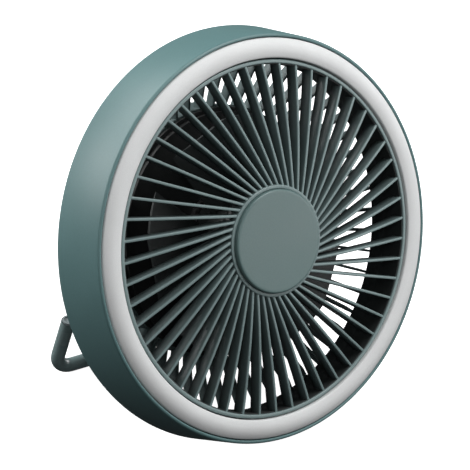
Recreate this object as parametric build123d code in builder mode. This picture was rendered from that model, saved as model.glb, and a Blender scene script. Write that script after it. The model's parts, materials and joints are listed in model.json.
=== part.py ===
from build123d import *
import math
import os

# Rechargeable ceiling fan. A short drum carries a ring lamp and a swirl-rib grille in front and a
# domed guard with a battery pod behind. A bail on the guard hangs it up or props it on a table.
# Lengths are millimetres. Depths run back from the plane of the drum's front rim.

# Clearances and cuts
overrun = 1.0
push_fit = 0.02
running_fit = 0.05
side_gap = 0.3

# Drum
drum_front_radius = 99.5
drum_draft = 3.0
drum_depth = 30.0
drum_wall = 1.8
drum_edge_round = 0.8
shelf_depth = 11.0
shelf_thickness = 1.8
guard_boss_radius = 2.6
guard_boss_count = 6
guard_boss_web = 1.6

# Ring lamp
lamp_gap = 0.4
diffuser_width = 9.5
diffuser_wall = 1.5
diffuser_crown = 1.8
diffuser_inner_rise = 1.4
reflector_floor = 1.4
reflector_lip = 0.6
reflector_lip_height = 3.0
led_board_thickness = 1.2
led_count = 36
led_width = 2.8
led_length = 3.5
led_height = 0.8

# Front grille
grille_gap = 0.2
grille_ring_width = 1.9
grille_bulge = 1.2
rib_count = 52
rib_thickness = 1.4
rib_depth = 6.0
rib_offset = 12.65
rib_start_angle = 3.85
hub_radius = 27.2
hub_wall = 1.9
hub_rise = 5.0
hub_floor = 1.6
grille_edge_round = 0.5
cap_gap = 0.6
cap_rise = 7.4
cap_thickness = 2.2
cap_round = 1.3
cap_skirt = 1.5

# Impeller
impeller_setback = 9.0
impeller_wall = 1.8
impeller_nose_round = 3.0
blade_count = 5
blade_start_angle = 43.8
blade_sweep = -18.0
blade_tip_radius = 60.0
blade_thickness = 2.0
blade_camber = 3.0
blade_root_chord = 22.0
blade_tip_chord = 66.0
blade_root_angle = 30.0
blade_tip_angle = 16.0
blade_root_bite = 8.0

# Motor
can_radius = 21.0
can_wall = 1.2
can_length = 17.5
can_collar_radius = 4.0
can_collar_length = 2.2
magnet_thickness = 1.9
magnet_length = 13.0
air_gap = 0.4
shaft_radius = 2.0
shaft_tail = 1.7
bearing_radius = 5.0
bearing_width = 4.0
bearing_race = 0.9
bearing_groove = 0.3
bearing_wall = 1.5
bearing_shoulder = 1.2
clip_radius = 3.8
clip_thickness = 0.6
clip_setback = 0.2
clip_groove = 0.3
clip_mouth_share = 0.8
clip_room = 2.5
stator_length = 9.0
stator_tooth_count = 9
stator_tooth_width = 3.0
stator_back_iron = 2.5
stator_shoe = 1.4
stator_slot = 2.0
winding_build = 1.3
winding_end_gap = 0.6
stator_place_share = 0.56
base_radius = 24.0
base_thickness = 2.5
base_gap = 2.0
hub_skirt = 1.7
motor_screw_circle = 18.5
motor_screw_count = 3

# Screws
screw_radius = 1.2
screw_head_radius = 2.1
screw_head_height = 1.4
screw_length = 7.0
screw_slot_width = 0.6
screw_slot_depth = 0.6

# Battery pod
pod_radius = 60.0
pod_wall = 1.8
pod_floor = 2.4
pod_collar = 1.8
pod_boss_radius = 2.8
pod_boss_inset = 4.3
pod_boss_angles = (35, 145, 240, 300)
board_standoff = 2.0
board_pad_radius = 2.0
board_pad_shares = (0.44, 0.4)
board_thickness = 1.6
driver_board_length = 50.0
driver_board_width = 30.0
tray_gap = 0.8
tray_floor = 1.8
tray_wall = 1.2
tray_rail = 1.6
cell_diameter = 18.2
cell_length = 65.0
cell_spacing = 0.4
cell_terminal_radius = 3.2
cell_terminal_height = 0.8
battery_drop = 5.0
cover_gap = 0.3
cover_thickness = 2.2
cover_edge_round = 0.8

# Controls on the pod cover
control_rise = 27.0
control_spacing = 12.5
control_board_length = 44.0
control_board_width = 16.0
control_post_radius = 2.0
control_post_inset = 3.0
button_radius = 4.5
button_flange = 1.2
button_flange_thickness = 1.2
button_proud = 0.8
button_travel = 0.8
button_round = 0.6
switch_side = 6.0
switch_height = 2.0
plunger_radius = 1.6
plunger_height = 0.5
socket_width = 9.0
socket_height = 3.2
socket_wall = 0.35
socket_floor = 2.0
tongue_width = 6.4
tongue_height = 0.7
tongue_setback = 0.6

# Rear guard
flange_thickness = 2.2
flange_width = 8.4
duct_wall = 1.5
duct_flange = 5.0
duct_rear_inset = 1.6
duct_bow = 0.8
fin_count = 52
fin_start_angle = 2.91
fin_thickness = 1.2
fin_depth = 6.0
fin_seat = 2.0
fin_step = 0.8
dome_rise = 16.0
dome_bulge = 1.0
guard_hub_width = 2.9
guard_hub_length = 22.0

# Bail
tube_radius = 3.1
tube_wall = 1.0
bail_half_width = 76.8
bail_bend = 5.0
arm_length = 30.7
arm_tip = 3.0
bail_rest_angle = 35.2
pivot_drop = 33.8
fold_clearance = 2.1
pin_radius = 1.5
pin_bite = 1.0
bush_wall = 1.0
bush_flange = 0.8
bush_flange_width = 1.8
pivot_clearance = 0.2
ear_thickness = 6.0
ear_radius = 4.6
ear_length = 18.0
plug_length = 9.0
plug_head = 1.0
plug_dish = 0.5
plug_rim = 0.8

# Radii that follow from the drum inwards
drum_rear_radius = drum_front_radius + drum_draft
diffuser_outer_radius = drum_front_radius - drum_wall - lamp_gap
diffuser_inner_radius = diffuser_outer_radius - diffuser_width
grille_radius = diffuser_inner_radius - grille_gap
shelf_radius = grille_radius - grille_ring_width

# Depths that follow from the front backwards
shelf_back = shelf_depth + shelf_thickness
can_front = impeller_setback + impeller_wall
can_back = can_front + can_length
skirt_back = can_back + hub_skirt
base_front = skirt_back + base_gap
base_back = base_front + base_thickness
pod_floor_depth = base_back + pod_floor
board_front = pod_floor_depth + board_standoff
tray_front = board_front + board_thickness + tray_gap
cell_front = tray_front + tray_floor
cover_front = cell_front + cell_diameter + cover_gap
back_depth = cover_front + cover_thickness
cover_seat = back_depth - screw_head_height
flange_front = drum_depth - flange_thickness
pivot_depth = back_depth + fold_clearance + tube_radius


def wall_radius(depth):
    """Outside radius of the drum at a depth behind its rim."""
    return drum_front_radius + drum_draft * depth / drum_depth


def bowed(start, end, bulge):
    """Middle point of an arc that bows out by a bulge to the left of its chord."""
    chord = Vector(end[0] - start[0], end[1] - start[1])
    middle = Vector(start[0] + end[0], start[1] + end[1]) / 2
    return middle + Vector(-chord.Y, chord.X).normalized() * bulge


# Rear guard: the flange inside the drum's rear edge, and the hub round the pod
flange_radius = wall_radius(drum_depth) - drum_wall - side_gap
flange_inner_radius = flange_radius - flange_width
guard_hub_inner = pod_radius + push_fit
guard_hub_outer = guard_hub_inner + guard_hub_width
fin_inner = guard_hub_inner + guard_hub_width / 2
cover_radius = fin_inner - side_gap

# Stance: the drum's rear edge and the bail's crossbar stand on the table, which tilts the fan back
rest_angle = math.radians(bail_rest_angle)
heel_drop = drum_rear_radius - drum_edge_round
heel_depth = drum_depth - drum_edge_round
bar_drop = pivot_drop + arm_length * math.cos(rest_angle)
bar_depth = pivot_depth + arm_length * math.sin(rest_angle)
stance = math.dist((heel_drop, heel_depth), (bar_drop, bar_depth))
tilt = math.atan2(heel_drop - bar_drop, bar_depth - heel_depth)
tilt += math.asin((drum_edge_round - tube_radius) / stance)
rim_height = heel_drop * math.cos(tilt) + heel_depth * math.sin(tilt) + drum_edge_round
reach_front = (drum_front_radius - drum_edge_round) * math.sin(tilt)
reach_front += drum_edge_round - drum_edge_round * math.cos(tilt)
rear_edges = (
    (heel_drop, heel_depth, drum_edge_round),
    (cover_radius - cover_edge_round, back_depth - cover_edge_round, cover_edge_round),
)
reach_back = max(rise * math.sin(tilt) + depth * math.cos(tilt) + edge for rise, depth, edge in rear_edges)

rim_centre = Vector(0, (reach_front - reach_back) / 2, rim_height)
facing = Vector(0, -math.cos(tilt), math.sin(tilt))
face = Plane(rim_centre, x_dir=(1, 0, 0), z_dir=facing)
fan_axis = Axis(rim_centre, facing)


def behind(depth):
    """Plane square to the fan axis, a depth behind the rim, looking forward."""
    return face.offset(-depth)


def slice_at(angle):
    """Plane through the fan axis: x is the radius at that angle, y runs forward."""
    turn = math.radians(angle)
    radial = face.x_dir * math.cos(turn) + face.y_dir * math.sin(turn)
    return Plane(face.origin, x_dir=radial, z_dir=radial.cross(face.z_dir))


section = slice_at(0)


def ring(outer, inner, front, back, mode=Mode.ADD):
    """Ring or disc about the fan axis between two depths, added to the part in hand."""
    with BuildSketch(behind(back)) as outline:
        Circle(outer)
        if inner > 0:
            Circle(inner, mode=Mode.SUBTRACT)
    extrude(outline.sketch, amount=back - front, mode=mode)


def posts(places, radius, front, back, mode=Mode.ADD):
    """Round posts or holes parallel to the fan axis at places on the fan's face."""
    with BuildSketch(behind(back)) as outline:
        with Locations(*places):
            Circle(radius)
    extrude(outline.sketch, amount=back - front, mode=mode)


def slab(place, length, width, front, back, mode=Mode.ADD):
    """Rectangular block square to the fan axis between two depths."""
    with BuildSketch(behind(back)) as outline:
        with Locations(place):
            Rectangle(length, width)
    extrude(outline.sketch, amount=back - front, mode=mode)


def on_circle(radius, angles):
    """Places on the fan's face at one radius."""
    turns = [math.radians(angle) for angle in angles]
    return [(radius * math.cos(turn), radius * math.sin(turn)) for turn in turns]


def screws(places, head_depth):
    """Slotted pan-head screws driven forward, heads resting at one depth."""
    posts(places, screw_radius, head_depth - screw_length, head_depth)
    posts(places, screw_head_radius, head_depth, head_depth + screw_head_height)
    slot_back = head_depth + screw_head_height + overrun
    for place in places:
        slab(place, (screw_head_radius + overrun) * 2, screw_slot_width,
             slot_back - overrun - screw_slot_depth, slot_back, mode=Mode.SUBTRACT)


os.makedirs("parts", exist_ok=True)


def keep(piece, name):
    """Label a finished piece and write its file."""
    piece.part.label = name
    export_step(piece.part, f"parts/{name}.step")


# Drum housing: drafted wall with a shelf for the lamp inside and bosses for the guard's screws
guard_boss_circle = wall_radius(shelf_back) - drum_wall - guard_boss_radius + guard_boss_web / 4
guard_boss_angles = [360 * (step + 0.5) / guard_boss_count for step in range(guard_boss_count)]
guard_boss_places = on_circle(guard_boss_circle, guard_boss_angles)

with BuildPart() as drum_housing:
    with BuildSketch(section) as drum_profile:
        with BuildLine():
            Polyline(
                (drum_front_radius, 0),
                (drum_rear_radius, -drum_depth),
                (drum_rear_radius - drum_wall, -drum_depth),
                (wall_radius(shelf_back) - drum_wall, -shelf_back),
                (shelf_radius, -shelf_back),
                (shelf_radius, -shelf_depth),
                (wall_radius(shelf_depth) - drum_wall, -shelf_depth),
                (drum_front_radius - drum_wall, 0),
                close=True,
            )
        make_face()
        outer_corners = drum_profile.vertices().group_by(Axis.Y)
        fillet(outer_corners[0].sort_by(Axis.X)[-1], drum_edge_round)
        fillet(outer_corners[-1].sort_by(Axis.X)[-1], drum_edge_round)
    revolve(axis=fan_axis)
    posts(guard_boss_places, guard_boss_radius, shelf_back, flange_front)
    for angle in guard_boss_angles:
        with BuildSketch(slice_at(angle)):
            with BuildLine():
                Polyline(
                    (guard_boss_circle, -shelf_back),
                    (wall_radius(shelf_back) - drum_wall / 2, -shelf_back),
                    (wall_radius(flange_front) - drum_wall / 2, -flange_front),
                    (guard_boss_circle, -flange_front),
                    close=True,
                )
            make_face()
        extrude(amount=guard_boss_web / 2, both=True)
    posts(guard_boss_places, screw_radius + push_fit, drum_depth - screw_length - overrun,
          flange_front + overrun, mode=Mode.SUBTRACT)
keep(drum_housing, "drum_housing")

# Light reflector: white floor ring with two lips that hold the lamp's board
reflector_front = shelf_depth - reflector_floor
lamp_middle_radius = diffuser_outer_radius - diffuser_width / 2
lamp_board_half = diffuser_width / 2 - diffuser_wall - reflector_lip - side_gap - push_fit
with BuildPart() as light_reflector:
    ring(diffuser_outer_radius, diffuser_inner_radius, reflector_front, shelf_depth)
    lip_half = lamp_board_half + push_fit
    for lip_radius in (lamp_middle_radius - lip_half - reflector_lip, lamp_middle_radius + lip_half):
        ring(lip_radius + reflector_lip, lip_radius,
             reflector_front - reflector_lip_height, reflector_front)
keep(light_reflector, "light_reflector")

# Lamp board and its light-emitting diodes
led_board_front = reflector_front - led_board_thickness
with BuildPart() as led_ring_board:
    ring(lamp_middle_radius + lamp_board_half, lamp_middle_radius - lamp_board_half,
         led_board_front, reflector_front)
keep(led_ring_board, "led_ring_board")

with BuildPart() as leds:
    with BuildSketch(behind(led_board_front)):
        with PolarLocations(lamp_middle_radius, led_count):
            Rectangle(led_length, led_width)
    extrude(amount=led_height)
keep(leds, "leds")

# Light diffuser: convex white channel that drops over the lamp and stands on the reflector
with BuildPart() as light_diffuser:
    outer_front = (diffuser_outer_radius, 0)
    inner_front = (diffuser_inner_radius, diffuser_inner_rise)
    outer_under = (diffuser_outer_radius - diffuser_wall, -diffuser_wall)
    inner_under = (diffuser_inner_radius + diffuser_wall, diffuser_inner_rise - diffuser_wall)
    with BuildSketch(section):
        with BuildLine():
            ThreePointArc(inner_front, bowed(inner_front, outer_front, diffuser_crown), outer_front)
            Polyline(
                outer_front,
                (diffuser_outer_radius, -reflector_front),
                (diffuser_outer_radius - diffuser_wall, -reflector_front),
                outer_under,
            )
            ThreePointArc(outer_under, bowed(outer_under, inner_under, -diffuser_crown), inner_under)
            Polyline(
                inner_under,
                (diffuser_inner_radius + diffuser_wall, -reflector_front),
                (diffuser_inner_radius, -reflector_front),
                inner_front,
            )
        make_face()
    revolve(axis=fan_axis)
keep(light_diffuser, "light_diffuser")

# Front grille: straight ribs that all pass the axis at one offset, their edges on a shallow dome
rib_inner = math.sqrt((hub_radius - hub_wall / 2) ** 2 - rib_offset ** 2)
rib_outer = math.sqrt((grille_radius - grille_ring_width / 2) ** 2 - rib_offset ** 2)
with BuildPart() as rib:
    front_in = (rib_inner, hub_rise)
    front_out = (rib_outer, 0)
    back_in = (rib_inner, hub_rise - rib_depth)
    back_out = (rib_outer, -rib_depth)
    with BuildSketch(Plane.XZ.offset(rib_offset)):
        with BuildLine():
            ThreePointArc(front_in, bowed(front_in, front_out, grille_bulge), front_out)
            Line(front_out, back_out)
            ThreePointArc(back_out, bowed(back_out, back_in, -grille_bulge), back_in)
            Line(back_in, front_in)
        make_face()
    extrude(amount=rib_thickness / 2, both=True)

hub_back = rib_depth - hub_rise + hub_floor
with BuildPart(face) as front_grille:
    ring(grille_radius, shelf_radius, -grille_edge_round, shelf_depth)
    ring(hub_radius, hub_radius - hub_wall, -hub_rise - grille_edge_round, hub_back)
    ring(hub_radius, 0, hub_back - hub_floor, hub_back)
    hub_rim = front_grille.edges().filter_by(GeomType.CIRCLE).group_by(fan_axis)[-1]
    fillet(hub_rim, grille_edge_round)
    with PolarLocations(0, rib_count, start_angle=rib_start_angle):
        add(rib.part)
keep(front_grille, "front_grille")

# Hub cap: flat disc with a skirt that stands on the floor of the grille's hub
cap_radius = hub_radius - hub_wall - cap_gap
with BuildPart() as hub_cap:
    ring(cap_radius, 0, -cap_rise, cap_thickness - cap_rise)
    ring(cap_radius, cap_radius - cap_skirt, -cap_rise, hub_back - hub_floor)
    cap_edge = hub_cap.edges().filter_by(GeomType.CIRCLE).group_by(fan_axis)[-1]
    fillet(cap_edge, cap_round)
keep(hub_cap, "hub_cap")

# Air duct: dark shroud round the impeller, held between the shelf and the guard's flange
duct_front = (shelf_radius, -shelf_back)
duct_rear = (flange_inner_radius - duct_rear_inset, -flange_front)
duct_front_back = (shelf_radius + duct_wall, -shelf_back - duct_wall)
duct_rear_back = (flange_inner_radius - duct_rear_inset + duct_wall, -flange_front)
with BuildPart() as air_duct:
    with BuildSketch(section):
        with BuildLine():
            ThreePointArc(duct_front, bowed(duct_front, duct_rear, duct_bow), duct_rear)
            Line(duct_rear, duct_rear_back)
            ThreePointArc(duct_rear_back, bowed(duct_rear_back, duct_front_back, -duct_bow),
                          duct_front_back)
            Polyline(
                duct_front_back,
                (shelf_radius + duct_flange, -shelf_back - duct_wall),
                (shelf_radius + duct_flange, -shelf_back),
                duct_front,
            )
        make_face()
    revolve(axis=fan_axis)
keep(air_duct, "air_duct")

# Rear guard: radial fins on a shallow dome from a flange to a hub, with a lug each side for the bail
dome_back = drum_depth + dome_rise
dome_start = (flange_inner_radius + fin_seat, -drum_depth)
dome_end = (fin_inner, -dome_back)
fin_front = flange_front + fin_step
knee_share = (fin_front + fin_depth - drum_depth) / dome_rise
with BuildPart() as fin:
    with BuildSketch(Plane.XZ):
        with BuildLine():
            ThreePointArc(dome_start, bowed(dome_start, dome_end, dome_bulge), dome_end)
            Polyline(
                dome_end,
                (fin_inner, fin_depth - dome_back),
                (dome_start[0] + (dome_end[0] - dome_start[0]) * knee_share, -fin_front),
                (dome_start[0], -fin_front),
                dome_start,
            )
        make_face()
    extrude(amount=fin_thickness / 2, both=True)

ear_outer = bail_half_width - tube_radius - pivot_clearance - bush_flange
ear_inner = ear_outer - ear_thickness
ear_root = math.sqrt(guard_hub_outer ** 2 - (pivot_drop + ear_radius) ** 2)
with BuildPart(face) as rear_guard:
    ring(flange_radius, flange_inner_radius, flange_front, drum_depth)
    ring(guard_hub_outer, guard_hub_inner, cover_front - guard_hub_length, cover_front)
    with PolarLocations(0, fin_count, start_angle=fin_start_angle):
        add(fin.part)
    for side in (1, -1):
        ear_plane = Plane(face.from_local_coords((side * ear_root, -pivot_drop, -pivot_depth)),
                          x_dir=face.y_dir, z_dir=face.x_dir * side)
        with BuildSketch(ear_plane):
            Circle(ear_radius)
            with Locations((0, side * ear_length / 2)):
                Rectangle(ear_radius * 2, ear_length)
        extrude(amount=ear_outer - ear_root)
        with BuildSketch(ear_plane.offset(ear_outer - ear_root)):
            Circle(pin_radius + running_fit + bush_wall + push_fit)
        extrude(amount=-ear_thickness - side_gap, mode=Mode.SUBTRACT)
    ring(guard_hub_inner, 0, pivot_depth - ear_length - overrun, cover_front, mode=Mode.SUBTRACT)
    ring(guard_hub_outer, 0, cover_front, pivot_depth + ear_radius + overrun, mode=Mode.SUBTRACT)
    posts(guard_boss_places, screw_radius + side_gap, flange_front - overrun,
          drum_depth + overrun, mode=Mode.SUBTRACT)
keep(rear_guard, "rear_guard")

with BuildPart() as guard_screws:
    screws(guard_boss_places, drum_depth)
keep(guard_screws, "guard_screws")

# Impeller: cambered, twisted blades lofted from root to tip on a cup that grips the rotor
impeller_radius = can_radius + push_fit + impeller_wall
blade_middle = (impeller_setback + flange_front) / 2
blade_sections = (
    (impeller_radius - blade_root_bite, 0, blade_root_chord, blade_root_angle),
    (blade_tip_radius, blade_sweep, blade_tip_chord, blade_tip_angle),
)
with BuildPart() as blade:
    for radius, sweep_angle, chord, angle in blade_sections:
        outward = Vector(1, 0, 0).rotate(Axis.Z, sweep_angle)
        across = Vector(0, 1, 0).rotate(Axis.Z, sweep_angle)
        with BuildSketch(Plane(outward * radius, x_dir=across, z_dir=outward).rotated((0, 0, angle))):
            with BuildLine():
                ThreePointArc((-chord / 2, 0), (0, blade_camber), (chord / 2, 0))
                ThreePointArc((chord / 2, 0), (0, blade_camber - blade_thickness), (-chord / 2, 0))
            make_face()
    loft()

with BuildPart(behind(blade_middle)) as impeller:
    with PolarLocations(0, blade_count, start_angle=blade_start_angle):
        add(blade.part)
    ring(blade_tip_radius, impeller_radius - impeller_wall / 2, impeller_setback, skirt_back,
         mode=Mode.INTERSECT)
    with BuildSketch(section) as cup_profile:
        with BuildLine():
            Polyline(
                (0, -impeller_setback),
                (impeller_radius, -impeller_setback),
                (impeller_radius, -skirt_back),
                (impeller_radius - impeller_wall, -skirt_back),
                (impeller_radius - impeller_wall, -can_front),
                (0, -can_front),
                close=True,
            )
        make_face()
        nose_corner = cup_profile.vertices().group_by(Axis.Y)[-1].sort_by(Axis.X)[-1]
        fillet(nose_corner, impeller_nose_round)
    revolve(axis=fan_axis)
keep(impeller, "impeller")

# Rotor: steel can with a ring magnet, pressed with its shaft into the impeller's cup
tube_front = can_front + can_wall + can_collar_length + air_gap
shaft_back = base_back + shaft_tail
with BuildPart() as rotor_can:
    ring(can_radius, 0, can_front, can_front + can_wall)
    ring(can_radius, can_radius - can_wall, can_front, can_back)
    ring(can_collar_radius, 0, can_front, can_front + can_wall + can_collar_length)
    ring(shaft_radius + push_fit, 0, can_front + can_wall / 2,
         can_front + can_wall + can_collar_length + overrun, mode=Mode.SUBTRACT)
keep(rotor_can, "rotor_can")

magnet_radius = can_radius - can_wall - push_fit
stator_middle = can_front + can_wall + (can_length - can_wall) * stator_place_share
with BuildPart() as rotor_magnet:
    ring(magnet_radius, magnet_radius - magnet_thickness,
         stator_middle - magnet_length / 2, stator_middle + magnet_length / 2)
keep(rotor_magnet, "rotor_magnet")

with BuildPart() as motor_shaft:
    ring(shaft_radius, 0, can_front + can_wall / 2, shaft_back)
    ring(shaft_radius, shaft_radius - clip_groove, base_back + clip_setback,
         base_back + clip_setback + clip_thickness, mode=Mode.SUBTRACT)
keep(motor_shaft, "motor_shaft")

with BuildPart() as shaft_clip:
    ring(clip_radius, shaft_radius - clip_groove + push_fit, base_back + clip_setback + push_fit,
         base_back + clip_setback + clip_thickness - push_fit)
    slab((clip_radius / 2 + overrun, 0), clip_radius + overrun * 2, shaft_radius * 2 * clip_mouth_share,
         base_back, base_back + clip_setback + clip_thickness + overrun, mode=Mode.SUBTRACT)
keep(shaft_clip, "shaft_clip")

# Motor base: plate with the bearing tube, screwed to the battery pod's floor
bearing_tube_radius = bearing_radius + push_fit + bearing_wall
motor_screw_angles = [90 + 360 * step / motor_screw_count for step in range(motor_screw_count)]
motor_screw_places = on_circle(motor_screw_circle, motor_screw_angles)
with BuildPart() as motor_base:
    ring(base_radius, 0, base_front, base_back)
    ring(bearing_tube_radius, 0, tube_front, base_back)
    ring(bearing_radius - bearing_shoulder, 0, tube_front - overrun, base_back + overrun,
         mode=Mode.SUBTRACT)
    ring(bearing_radius + push_fit, 0, tube_front - overrun, tube_front + bearing_width,
         mode=Mode.SUBTRACT)
    ring(bearing_radius + push_fit, 0, base_back - bearing_width, base_back + overrun,
         mode=Mode.SUBTRACT)
    posts(motor_screw_places, screw_radius + push_fit, base_front - overrun, base_back + overrun,
          mode=Mode.SUBTRACT)
keep(motor_base, "motor_base")

with BuildPart() as motor_bearings:
    for bearing_front in (tube_front, base_back - bearing_width):
        bearing_back = bearing_front + bearing_width
        ring(bearing_radius, shaft_radius + running_fit, bearing_front, bearing_back)
        for groove_front in (bearing_front - overrun, bearing_back - bearing_groove):
            ring(bearing_radius - bearing_race, shaft_radius + running_fit + bearing_race,
                 groove_front, groove_front + bearing_groove + overrun, mode=Mode.SUBTRACT)
keep(motor_bearings, "motor_bearings")

# Stator: toothed core on the bearing tube, with a coil round each tooth
stator_radius = magnet_radius - magnet_thickness - air_gap
stator_bore = bearing_tube_radius + push_fit
stator_front = stator_middle - stator_length / 2
with BuildPart() as stator_core:
    with BuildSketch(behind(stator_front + stator_length)):
        Circle(stator_radius)
        Circle(stator_radius - stator_shoe, mode=Mode.SUBTRACT)
        with PolarLocations(stator_radius - stator_shoe / 2, stator_tooth_count,
                            start_angle=180 / stator_tooth_count):
            Rectangle(stator_shoe * 2, stator_slot, mode=Mode.SUBTRACT)
        with PolarLocations(stator_bore, stator_tooth_count):
            Rectangle(stator_radius - stator_shoe / 2 - stator_bore, stator_tooth_width,
                      align=(Align.MIN, Align.CENTER))
        Circle(stator_bore + stator_back_iron)
        Circle(stator_bore, mode=Mode.SUBTRACT)
    extrude(amount=stator_length)
keep(stator_core, "stator_core")

coil_inner = stator_bore + stator_back_iron + winding_end_gap
coil_outer = stator_radius - stator_shoe - winding_end_gap
with BuildPart() as stator_windings:
    for step in range(stator_tooth_count):
        turn = 360 * step / stator_tooth_count
        radial = slice_at(turn).x_dir
        coil_plane = Plane(behind(stator_middle).origin + radial * coil_inner,
                           x_dir=face.z_dir, z_dir=radial)
        with BuildSketch(coil_plane):
            RectangleRounded(stator_length + winding_build * 2, stator_tooth_width + winding_build * 2,
                             winding_build)
            Rectangle(stator_length + push_fit * 2, stator_tooth_width + push_fit * 2,
                      mode=Mode.SUBTRACT)
        extrude(amount=coil_outer - coil_inner)
keep(stator_windings, "stator_windings")

# Battery pod: cup behind the motor whose spigot fits the guard's hub
pod_inner = pod_radius - pod_wall
pod_boss_places = on_circle(pod_radius - pod_boss_inset - pod_wall, pod_boss_angles)
pad_reach = driver_board_length * board_pad_shares[0]
pad_rise = driver_board_width * board_pad_shares[1]
board_pad_places = [(x * pad_reach, y * pad_rise - battery_drop) for x in (-1, 1) for y in (-1, 1)]
with BuildPart() as battery_pod:
    ring(pod_radius, pod_inner, base_back, cover_front)
    ring(pod_radius, clip_radius + clip_room, base_back, pod_floor_depth)
    collar_back = cover_front - guard_hub_length
    ring(pod_radius + pod_collar, pod_inner, collar_back - pod_collar, collar_back)
    posts(pod_boss_places, pod_boss_radius, pod_floor_depth, cover_front)
    posts(pod_boss_places, screw_radius + push_fit, cover_seat - screw_length - overrun,
          cover_front + overrun, mode=Mode.SUBTRACT)
    posts(board_pad_places, board_pad_radius, pod_floor_depth, board_front)
    posts(motor_screw_places, screw_radius + side_gap, base_back - overrun,
          pod_floor_depth + overrun, mode=Mode.SUBTRACT)
keep(battery_pod, "battery_pod")

with BuildPart() as motor_screws:
    posts(motor_screw_places, screw_radius, base_front, pod_floor_depth)
    posts(motor_screw_places, screw_head_radius, pod_floor_depth,
          pod_floor_depth + screw_head_height)
keep(motor_screws, "motor_screws")

# Motor driver board on four pads of the pod's floor
with BuildPart() as driver_board:
    slab((0, -battery_drop), driver_board_length, driver_board_width,
         board_front, board_front + board_thickness)
keep(driver_board, "driver_board")

# Battery: two cells in a cradle that stands on rails over the driver board
cell_radius = cell_diameter / 2
cell_axis_depth = cell_front + cell_radius
cell_pitch = cell_diameter + cell_spacing
cell_overall = cell_length + cell_terminal_height
tray_length = cell_overall + (side_gap + tray_wall) * 2
tray_width = cell_pitch + cell_diameter + (side_gap + tray_wall) * 2
tray_places = [side * (tray_width - tray_rail) / 2 - battery_drop for side in (-1, 1)]
cell_places = [side * cell_pitch / 2 - battery_drop for side in (-1, 1)]


def along_pod(rise, depth, start):
    """Plane square to the bail's axis, at a rise above the fan axis, a depth and a sideways start."""
    return Plane(face.from_local_coords((start, rise, -depth)), x_dir=face.y_dir, z_dir=face.x_dir)


with BuildPart() as battery_tray:
    slab((0, -battery_drop), tray_length, tray_width, tray_front, cell_axis_depth)
    cavity = cell_overall + side_gap * 2
    slab((0, -battery_drop), cavity, cell_pitch, cell_axis_depth - cell_radius / 2,
         cell_axis_depth + overrun, mode=Mode.SUBTRACT)
    for rise in cell_places:
        with BuildSketch(along_pod(rise, cell_axis_depth, -cavity / 2)):
            Circle(cell_radius + push_fit)
        extrude(amount=cavity, mode=Mode.SUBTRACT)
    for rise in tray_places:
        slab((0, rise), driver_board_length, tray_rail, pod_floor_depth, tray_front)
keep(battery_tray, "battery_tray")

with BuildPart() as battery_cells:
    for rise in cell_places:
        with BuildSketch(along_pod(rise, cell_axis_depth, -cell_overall / 2)):
            Circle(cell_radius)
        extrude(amount=cell_length)
        with BuildSketch(along_pod(rise, cell_axis_depth, -cell_overall / 2)):
            Circle(cell_terminal_radius)
        extrude(amount=cell_overall)
keep(battery_cells, "battery_cells")

# Pod cover: flush disc with the controls, its posts carry the control board
flange_seat = cover_front - button_flange_thickness
plunger_back = flange_seat - button_travel - side_gap
control_board_back = plunger_back - plunger_height - switch_height
control_places = {side: (side * control_spacing, control_rise) for side in (-1, 1)}
control_post_places = [(x * (control_board_length / 2 - control_post_inset),
                        control_rise - control_board_width / 2 + control_post_inset)
                       for x in (-1, 1)]
with BuildPart() as pod_cover:
    ring(cover_radius, 0, cover_front, back_depth)
    posts(control_post_places, control_post_radius, control_board_back, cover_front)
    posts(control_places.values(), button_radius + side_gap, cover_front - overrun,
          back_depth + overrun, mode=Mode.SUBTRACT)
    posts(pod_boss_places, screw_radius + side_gap, cover_front - overrun, back_depth + overrun,
          mode=Mode.SUBTRACT)
    posts(pod_boss_places, screw_head_radius + side_gap, cover_seat, back_depth + overrun,
          mode=Mode.SUBTRACT)
    with BuildSketch(behind(back_depth + overrun)):
        with Locations((0, control_rise)):
            SlotOverall(socket_width + side_gap * 2, socket_height + side_gap * 2)
    extrude(amount=cover_thickness + overrun * 2, mode=Mode.SUBTRACT)
    cover_edge = pod_cover.edges().filter_by(GeomType.CIRCLE).group_by(fan_axis)[0]
    fillet(cover_edge.sort_by(SortBy.RADIUS)[-1], cover_edge_round)
keep(pod_cover, "pod_cover")

with BuildPart() as cover_screws:
    screws(pod_boss_places, cover_seat)
keep(cover_screws, "cover_screws")

# Control board with its two switches and the charging socket
with BuildPart() as control_board:
    slab((0, control_rise), control_board_length, control_board_width,
         control_board_back - board_thickness, control_board_back)
keep(control_board, "control_board")

with BuildPart() as tact_switches:
    for place in control_places.values():
        slab(place, switch_side, switch_side, control_board_back, control_board_back + switch_height)
    posts(control_places.values(), plunger_radius, control_board_back + switch_height, plunger_back)
keep(tact_switches, "tact_switches")

with BuildPart() as usb_socket:
    with BuildSketch(behind(back_depth)):
        with Locations((0, control_rise)):
            SlotOverall(socket_width, socket_height)
    extrude(amount=back_depth - control_board_back)
    with BuildSketch(behind(back_depth)):
        with Locations((0, control_rise)):
            SlotOverall(socket_width - socket_wall * 2, socket_height - socket_wall * 2)
    extrude(amount=back_depth - control_board_back - socket_floor, mode=Mode.SUBTRACT)
    slab((0, control_rise), tongue_width, tongue_height, control_board_back,
         back_depth - tongue_setback)
keep(usb_socket, "usb_socket")

# Push buttons: caps held in the cover by their flanges
for side, name in ((-1, "fan_button"), (1, "light_button")):
    place = control_places[side]
    with BuildPart() as button:
        posts([place], button_radius, flange_seat, back_depth + button_proud)
        posts([place], button_radius + button_flange, flange_seat, cover_front)
        button_edge = button.edges().filter_by(GeomType.CIRCLE).group_by(fan_axis)[0]
        fillet(button_edge, button_round)
    keep(button, name)

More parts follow.
